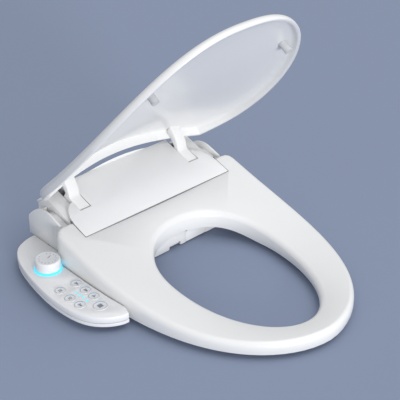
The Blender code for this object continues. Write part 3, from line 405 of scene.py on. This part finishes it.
def seat_outline():
    half = [p for p in oval_half(SEAT_HALF, SEAT_NOSE, SEAT_WIDE, 1.85, 3.2, 110) if p[1] < SEAT_WIDE - 0.006]
    cx, cy = SEAT_HALF - SEAT_CORNER, SEAT_REAR - SEAT_CORNER
    half += [(cx + SEAT_CORNER * math.cos(a), cy + SEAT_CORNER * math.sin(a))
             for a in turns(10, 0, math.pi / 2) + [math.pi / 2]]
    return mirrored(half)


def hole_outline(grow):
    half = oval_half(HOLE_HALF + grow, HOLE_FRONT - grow, HOLE_MID, 2.0, 2.0, 60)
    for i in range(1, 49):
        t = 0.5 * math.pi * i / 48
        half.append(((HOLE_HALF + grow) * math.cos(t) ** 0.9,
                     HOLE_MID + (HOLE_REAR + grow - HOLE_MID) * math.sin(t) ** 0.9))
    half[-1] = (0.0, HOLE_REAR + grow)
    return mirrored(half)


def seat_row(outline, height, steps=240):
    centre = Vector((0.0, HOLE_MID))
    row = []
    for a in turns(steps):
        spot = ray_hit(outline, centre, a)
        row.append((spot.x, spot.y, height(spot.y) if callable(height) else height))
    return row


def sunk(depth):
    return lambda y: seat_top(y) - depth


def hole_low(y):
    """Lower edge of the inner wall, which rises at the rear to clear the tray."""
    share = min(1.0, max(0.0, (y + 0.225) / 0.090))
    return SEAT_BASE + HOLE_LIFT * share * share * (3 - 2 * share)


def loft_ring(rows):
    bm = bmesh.new()
    rings = [[bm.verts.new(p) for p in row] for row in rows]
    for r, ring in enumerate(rings):
        other = rings[(r + 1) % len(rings)]
        for i in range(len(ring)):
            j = (i + 1) % len(ring)
            bm.faces.new((ring[i], ring[j], other[j], other[i]))
    return bm


def seat_shell():
    outer = seat_outline()
    rows = [seat_row(outer, SEAT_BASE), seat_row(outer, sunk(0.011))]
    for i in range(1, 8):
        a = 0.5 * math.pi * i / 7
        rows.append(seat_row(inset(outer, 0.008 * (1 - math.cos(a))), sunk(0.011 * (1 - math.sin(a)))))
    for i in range(1, 10):
        a = 0.5 * math.pi * i / 9
        rows.append(seat_row(hole_outline(HOLE_FLARE * (1 - math.sin(a)) + 0.003 * (1 - i / 9)),
                             sunk(SEAT_DISH * (0.9 + 0.1 * i / 9) + 0.008 * (1 - math.cos(a)))))
    rows += [seat_row(hole_outline(0.0), hole_low), seat_row(hole_outline(SEAT_WALL), hole_low),
             seat_row(hole_outline(SEAT_WALL + 0.006), sunk(SEAT_WALL + SEAT_DISH + 0.002)),
             seat_row(inset(outer, SEAT_WALL + 0.006), sunk(SEAT_WALL + 0.001)),
             seat_row(inset(outer, SEAT_WALL), SEAT_BASE)]
    seat = made_object("seat_shell", loft_ring(rows), WHITE)
    deck = COVER_FRONT
    hollow = [(-0.1345, -0.02), (0.0, -0.02), (0.0, 0.0947), (-0.1225, 0.0554), (-0.1225, 0.0285),
              (-0.1345, 0.0285)]
    carve(seat, side_prism(hollow, -0.158, 0.158))
    carve(seat, box(-0.1507, 0.1507, deck - 0.0007, 0.0, -0.02, 0.14))
    carve(seat, joined(*[box(min(s * 0.1513, s * 0.1649), max(s * 0.1513, s * 0.1649), SEAT_REAR - 0.020,
                             SEAT_REAR + 0.01, 0.0, 0.0716) for s in (-1, 1)]))
    bevelled(seat, 0.0009, 2, 50)
    dressed(seat, "seat", ["seat_top_shell"], 40)


# ---- lid ---------------------------------------------------------------------------------------
def lid_half_at(y):
    if y > LID_WIDE:
        return LID_HALF - (LID_HALF - LID_REAR_HALF) * ((y - LID_WIDE) / (LID_REAR - LID_WIDE)) ** 3
    share = min(1.0, max(0.0, (LID_WIDE - y) / (LID_WIDE - LID_NOSE)))
    cosine = share ** 1.01
    return LID_HALF * math.sqrt(max(0.0, 1 - cosine ** 2)) ** (2 / 2.45)


def lid_crown(x, y):
    half = max(lid_half_at(y), 1e-4)
    share = max(0.0, (y - LID_NOSE) / (LID_REAR - LID_NOSE))
    fade = 1 - (1 - min(1.0, (y - LID_NOSE) / LID_CROWN_FADE)) ** 2
    return (0.006 + 0.030 * share ** 1.5) * fade * max(0.0, 1 - (x / half) ** 2)


def lid_base(y):
    share = (y - LID_NOSE) / (LID_REAR - LID_NOSE)
    return LID_NOSE_Z + LID_DIP * share + LID_SWEEP * share ** 2


def lid_rim(x, y):
    return lid_base(y) + LID_RIM_CROWN * lid_crown(x, y)


def lid_top(x, y):
    return lid_base(y) + lid_crown(x, y) + 0.012 + 0.004 * (y - LID_NOSE) / (LID_REAR - LID_NOSE)


def lid_outline():
    half = oval_half(LID_HALF, LID_NOSE, LID_WIDE, 2.45, 2.02, 80)
    for i in range(1, 25):
        s = i / 24
        half.append((LID_HALF - (LID_HALF - LID_REAR_HALF) * s ** 3, LID_WIDE + (LID_REAR - LID_WIDE) * s))
    half += [(LID_REAR_HALF * (1 - i / 24), LID_REAR + LID_REAR_BULGE * (1 - (1 - i / 24) ** 2))
             for i in range(1, 25)]
    return mirrored(half)


def opened(obj):
    """Turn a piece described with the lid closed to where the raised lid holds it."""
    turn = Matrix.Translation(PIVOT) @ Matrix.Rotation(-LID_OPEN, 4, "X") @ Matrix.Translation(-PIVOT)
    obj.data.transform(turn)
    return obj


def lid_shell():
    centre = (0.0, -0.235)
    outline = lid_outline()
    bm = bmesh.new()

    def ring(points, height, drop):
        return [bm.verts.new((x, y, height(x, y) - drop)) for x, y in points]

    def shrunk(points, share):
        return [(centre[0] + (x - centre[0]) * share, centre[1] + (y - centre[1]) * share) for x, y in points]

    under = inset(outline, LID_RIM + 0.006)
    shares = (0.12, 0.25, 0.4, 0.55, 0.7, 0.82, 0.92, 1.0)
    rings = [ring(shrunk(under, s), lid_top, LID_SKIN) for s in shares]
    rings.append(ring(inset(outline, LID_RIM + 0.0025), lid_top, LID_SKIN + 0.0015))
    rings.append(ring(inset(outline, LID_RIM + 0.0008), lid_top, LID_SKIN + 0.0045))
    rings.append(ring(inset(outline, LID_RIM), lid_rim, -0.0008))
    rings.append(ring(inset(outline, LID_RIM - 0.0008), lid_rim, 0.0))
    rings.append(ring(inset(outline, 0.0010), lid_rim, 0.0))
    rings.append(ring(outline, lid_rim, -0.0010))
    for i in range(7):
        a = 0.5 * math.pi * i / 6
        rings.append(ring(inset(outline, 0.007 * (1 - math.cos(a))), lid_top, 0.0075 * (1 - math.sin(a))))
    upper = inset(outline, 0.007)
    rings += [ring(shrunk(upper, s), lid_top, 0.0) for s in reversed(shares[:-1])]
    count = len(outline)
    for lower, higher in zip(rings, rings[1:]):
        for i in range(count):
            j = (i + 1) % count
            bm.faces.new((lower[i], lower[j], higher[j], higher[i]))
    for rim, drop in ((rings[0], LID_SKIN), (rings[-1], 0.0)):
        hub = bm.verts.new((centre[0], centre[1], lid_top(*centre) - drop))
        for i in range(count):
            bm.faces.new((rim[i], rim[(i + 1) % count], hub))
    lid = opened(made_object("raised_lid", bm, WHITE))
    dressed(lid, "lid", ["lid_shell"], 50)


def cover_z(y):
    return COVER_Z + COVER_SLOPE * (y - COVER_FRONT)


def smooth_curve(points, steps=4):
    chain = [points[0]] + list(points) + [points[-1]]
    curve = []
    for i in range(1, len(chain) - 2):
        a, b, c, d = (Vector(chain[i + k]) for k in (-1, 0, 1, 2))
        for s in range(steps):
            t = s / steps
            spot = 0.5 * (2 * b + (c - a) * t + (2 * a - 5 * b + 4 * c - d) * t ** 2
                          + (3 * b - a - 3 * c + d) * t ** 3)
            curve.append((spot.x, spot.y))
    return curve + [tuple(points[-1])]


def lid_arms():
    """Curved straps that join the lid to its hinge drums, each with a flush shroud in front."""
    drum = [(PIVOT.y + 0.024 * math.cos(math.radians(a)), PIVOT.z + 0.024 * math.sin(math.radians(a)))
            for a in range(-168, 62, 5)]
    back = smooth_curve([(-0.0085, 0.1000), (0.0005, 0.1120), (0.0065, 0.1180), (0.0095, 0.1240)])
    front = smooth_curve([(0.0025, 0.1325), (-0.0050, 0.1260), (-0.0120, 0.1165), (-0.0170, 0.1065),
                          (-0.0195, 0.0965)])
    reach = PIVOT.y - 0.0325
    top = cover_z(reach) - 0.0006
    shroud = [(-0.0225, cover_z(-0.0225) - 0.0006), (reach, top), (reach + 0.003, top - 0.007)]
    for name, side in (("left", -1), ("right", 1)):
        x0, x1 = sorted((side * 0.104, side * 0.124))
        arm = made_object("lid_arm_" + name, side_prism(drum + back + front + shroud, x0, x1), WHITE)
        bore = [(PIVOT.y + 0.0038 * math.cos(a), PIVOT.z + 0.0038 * math.sin(a)) for a in turns(20)]
        carve(arm, side_prism(bore, x0 - 0.01, x1 + 0.01))
        bevelled(arm, 0.0011, 2, 40)
        dressed(arm, "lid", ())


# ---- pieces taken over from the frame with softened edges --------------------------------------
def softened(node_name, material, body, width, segments=2, name=None, angle=30):
    """Rebuild a frame node with merged faces and rounded edges."""
    bm = bmesh.new()
    bm.from_mesh(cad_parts[node_name].data)
    bmesh.ops.remove_doubles(bm, verts=bm.verts, dist=0.00001)
    bmesh.ops.dissolve_limit(bm, angle_limit=math.radians(1.0), verts=bm.verts, edges=bm.edges)
    piece = made_object(name or node_name + "_finished", bm, material)
    bevelled(piece, width, segments, angle)
    return dressed(piece, body, [node_name], 40)


def repainted(node_name, material):
    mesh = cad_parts[node_name].data
    mesh.materials.clear()
    mesh.materials.append(material)


# ---- control panel -----------------------------------------------------------------------------
def key_cap(name, x, y, radius):
    """Round key with a shallow dish, a soft rim and a printed mark."""
    low, high = 0.0209, PANEL_TOP + 0.0008
    profile = [(0.0, low), (radius, low), (radius, high - 0.0006), (radius - 0.0002, high - 0.0002),
               (radius - 0.0006, high), (radius - 0.0014, high), (radius - 0.0022, high - 0.00025),
               (radius * 0.5, high - 0.00045), (0.0, high - 0.0005)]
    body = name.replace("button_", "key_")
    cap = made_object(name + "_cap", lathe(x, y, profile, 48), KEY_WHITE)
    dressed(cap, body, [name], 50)
    # grey ring near the key's edge: painted shade standing in for a groove's shadow
    ring = band(x, y, radius - 0.0011, radius - 0.0007, high - 0.0001, high + 0.00006)
    dressed(made_object(name + "_ring", ring, PRINT_AND_GROOVE_SHADE_GREY), body, ())
    # blue arc at the key's upper right: a painted glint, not print
    arc = band(x, y, radius - 0.0017, radius - 0.0012, high - 0.0002, high + 0.00005,
               math.radians(10), math.radians(95), 14)
    dressed(made_object(name + "_arc", arc, PAINTED_GLINT_BLUE), body, ())
    mark = key_mark(name, x, y, radius * 0.42, high - 0.0006, high + 0.00002)
    dressed(made_object(name + "_mark", mark, PRINT_AND_GROOVE_SHADE_GREY), body, ())


def bar(x, y, dx, dy, half_long, half_wide, low, high):
    """Short straight printed stroke centred on a point."""
    along = Vector((dx, dy)).normalized()
    across = Vector((-along.y, along.x))
    here = Vector((x, y))
    corners = [here + along * (s * half_long) + across * (t * half_wide) for s, t in
               ((-1, -1), (1, -1), (1, 1), (-1, 1))]
    return prism([tuple(c) for c in corners], low, high)


def key_mark(name, x, y, size, low, high):
    """Generic picture for each function: drops, a fan, waves or a square."""
    if name == "button_stop":
        outer = [(x + size * 0.8 * c, y + size * 0.8 * s) for c, s in ((-1, -1), (1, -1), (1, 1), (-1, 1))]
        return prism(outer, low, high)
    if name == "button_dryer":
        blades = [bar(x + size * 0.5 * math.cos(a), y + size * 0.5 * math.sin(a), math.cos(a + 0.6),
                      math.sin(a + 0.6), size * 0.42, size * 0.16, low, high) for a in turns(3)]
        return joined(*blades)
    if name in ("button_water_heat", "button_seat_heat"):
        lines = [bar(x + size * 0.55 * k, y, 0.15, 1, size * 0.75, size * 0.10, low, high)
                 for k in (-1, 0, 1)]
        return joined(*lines)
    spray = [bar(x + size * 0.45 * k, y + size * 0.2, 0.35 * k, 1, size * 0.45, size * 0.10, low, high)
             for k in (-1, 0, 1)]
    return joined(*spray, band(x, y - size * 0.75, size * 0.15, size * 0.42, low, high, 0, 2 * math.pi, 16))


def dial():
    low = 0.0296
    high = low + 0.0170
    r = 0.0200
    bore, bore_top = 0.0033, low + 0.0097
    profile = [(0.0, bore_top), (bore, bore_top), (bore, low), (r - 0.0016, low), (r - 0.0008, low + 0.0006),
               (r, low + 0.0022), (r - 0.0003, high - 0.0022), (r - 0.0008, high - 0.0009),
               (r - 0.0018, high - 0.0002), (r - 0.0028, high),
               (r - 0.0040, high - 0.0003), (r - 0.0050, high - 0.0004), (0.0, high - 0.0004)]
    knob = lathe(DIAL.x, DIAL.y, profile, 96)
    dressed(made_object("dial_cap", knob, KEY_WHITE), "dial", ["dial_knob"], 50)
    face = high - 0.0004
    marks = []
    for k in range(13):
        a = math.radians(-240 + 300 * k / 12)
        marks.append(bar(DIAL.x + r * 0.66 * math.cos(a), DIAL.y + r * 0.66 * math.sin(a), math.cos(a),
                         math.sin(a), r * 0.055, r * 0.020, face - 0.0002, face + 0.00006))
    dressed(made_object("dial_scale", joined(*marks), PRINT_AND_GROOVE_SHADE_GREY), "dial", ())
    pointer = bar(DIAL.x + r * 0.20, DIAL.y + r * 0.08, 0.93, 0.36, r * 0.20, r * 0.030,
                  face - 0.0002, face + 0.00006)
    dressed(made_object("dial_pointer", pointer, PRINT_AND_GROOVE_SHADE_GREY), "dial", ())


def control_panel():
    softened("control_panel_top", PANEL_WHITE, "housing", 0.0006, 2, "panel_cover", 40)
    softened("control_panel_bottom", PANEL_WHITE, "housing", 0.0008, 2, "panel_tub", 40)
    for name, (x, y) in KEYS.items():
        key_cap(name, x, y, 0.0085)
    key_cap("button_stop", *STOP_KEY, 0.0108)
    dial()


# ---- painted shade in the gap along the cover ---------------------------------------------------
def cover_seam():
    """Dark strips of painted shade in the gap along the cover's front and its sides next to the seat,
    standing in for the gap's shadow.
    """
    half, wide, front, rear, sink = 0.1501, 0.0009, -0.0945, -0.0570, 0.0001

    def top(x, y):
        return cover_z(y) - sink

    def under(x, y):
        return cover_z(y) - 0.005

    strips = [prism([(-half - wide, front - wide), (half + wide, front - wide), (half + wide, front),
                     (-half - wide, front)], under, top)]
    for side in (-1, 1):
        inner, outer = side * half, side * (half + wide)
        strips.append(prism([(inner, front), (outer, front), (outer, rear), (inner, rear)], under, top))
    dressed(made_object("cover_seam", joined(*strips), PAINTED_GAP_SHADE_GREY), "housing", ())


# ---- assembly ----------------------------------------------------------------------------------
def build_object():
    seat_shell()
    lid_shell()
    lid_arms()
    cover_seam()
    softened("top_cover", COVER_WHITE_PAINTED_LIGHTER, "housing", 0.0005, 2)
    softened("side_cap_left", WHITE, "housing", 0.0008)
    softened("side_cap_right", WHITE, "housing", 0.0008)
    softened("rear_housing", WHITE, "housing", 0.0006)
    softened("rear_deck", WHITE, "housing", 0.0010)
    softened("base_tray", WHITE, "housing", 0.0006)
    softened("seat_hinge_lug_left", WHITE, "seat", 0.0008)
    softened("seat_hinge_lug_right", WHITE, "seat", 0.0008)
    softened("nozzle_guard", COVER_WHITE_PAINTED_LIGHTER, "nozzles", 0.0005)
    softened("seat_bottom_shell", WHITE, "seat", 0.0006)
    control_panel()
    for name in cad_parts:
        if "bumper" in name:
            repainted(name, RUBBER)
    for name in ("mounting_plate", "hinge_pin_left", "hinge_pin_right", "dial_shaft", "rear_wash_nozzle",
                 "front_wash_nozzle"):
        repainted(name, STEEL)
    for name in ("dial_light_ring", "indicator_light_guide"):
        repainted(name, GLOW)
    for name in ("water_heater_tank", "water_inlet_valve"):
        repainted(name, TANK)
    for name in ("main_circuit_board", "panel_circuit_board"):
        repainted(name, BOARD)
    for name in ("hinge_block_left", "hinge_block_right", "lid_damper", "seat_damper", "nozzle_guide",
                 "nozzle_motor", "dryer_fan_housing", "dryer_fan_wheel", "dial_encoder",
                 "water_inlet_connector"):
        repainted(name, DARK)
    repainted("cord_gland", DARK_RUBBER)
    repainted("release_button", KEY_WHITE)
    repainted("seat_heater", FOIL)


# ---- studio ------------------------------------------------------------------------------------
def floor_piece():
    material, tree, shader = new_material("studio_floor")
    place = tree.nodes.new("ShaderNodeTexCoord").outputs["Object"]
    cloud = node(tree, "ShaderNodeTexNoise", Vector=place, Scale=0.8, Detail=1.0)
    tone = node(tree, "ShaderNodeMix", Factor=cloud.outputs["Fac"])
    tone.data_type = "RGBA"
    tone.inputs[6].default_value = (0.252, 0.300, 0.412, 1)
    tone.inputs[7].default_value = (0.256, 0.304, 0.417, 1)
    tree.links.new(cloud.outputs["Fac"], tone.inputs[0])
    tree.links.new(tone.outputs[2], shader.inputs["Base Color"])
    shader.inputs["Roughness"].default_value = 0.95
    shader.inputs["Specular IOR Level"].default_value = 0.1
    floor = made_object("floor", box(-9, 9, -9, 9, -0.02, -0.0002), material)


def sun_light(name, towards, spread, power):
    """Broad even light from a direction, as from a large softbox far away."""
    data = bpy.data.lights.new(name, "SUN")
    data.angle = math.radians(spread)
    data.energy = power
    lamp = bpy.data.objects.new(name, data)
    lamp.location = Vector(towards) * 3
    lamp.rotation_euler = (-Vector(towards)).to_track_quat("-Z", "Y").to_euler()
    bpy.context.scene.collection.objects.link(lamp)


def studio():
    floor_piece()
    world = bpy.data.worlds.new("soft_studio")
    world.use_nodes = True
    back = world.node_tree.nodes["Background"]
    back.inputs["Color"].default_value = (0.97, 0.98, 1.0, 1)
    back.inputs["Strength"].default_value = 0.62
    bpy.context.scene.world = world
    bpy.context.scene.view_settings.view_transform = "Standard"
    sun_light("overhead_soft_light", (0.25, -0.35, 1.0), 50, 0.95)
    sun_light("front_soft_light", (-0.30, -1.0, 0.13), 16, 2.1)
    camera = bpy.data.objects.new("camera", bpy.data.cameras.new("camera"))
    camera.data.lens = 94.5
    camera.data.sensor_width = 36
    camera.location = (-0.9255, -1.2007, 0.9535)
    aim = Vector((0.0739, -0.1076, 0.05)) - camera.location
    camera.rotation_euler = aim.to_track_quat("-Z", "Y").to_euler()
    bpy.context.scene.collection.objects.link(camera)
    bpy.context.scene.camera = camera


build_object()
studio()
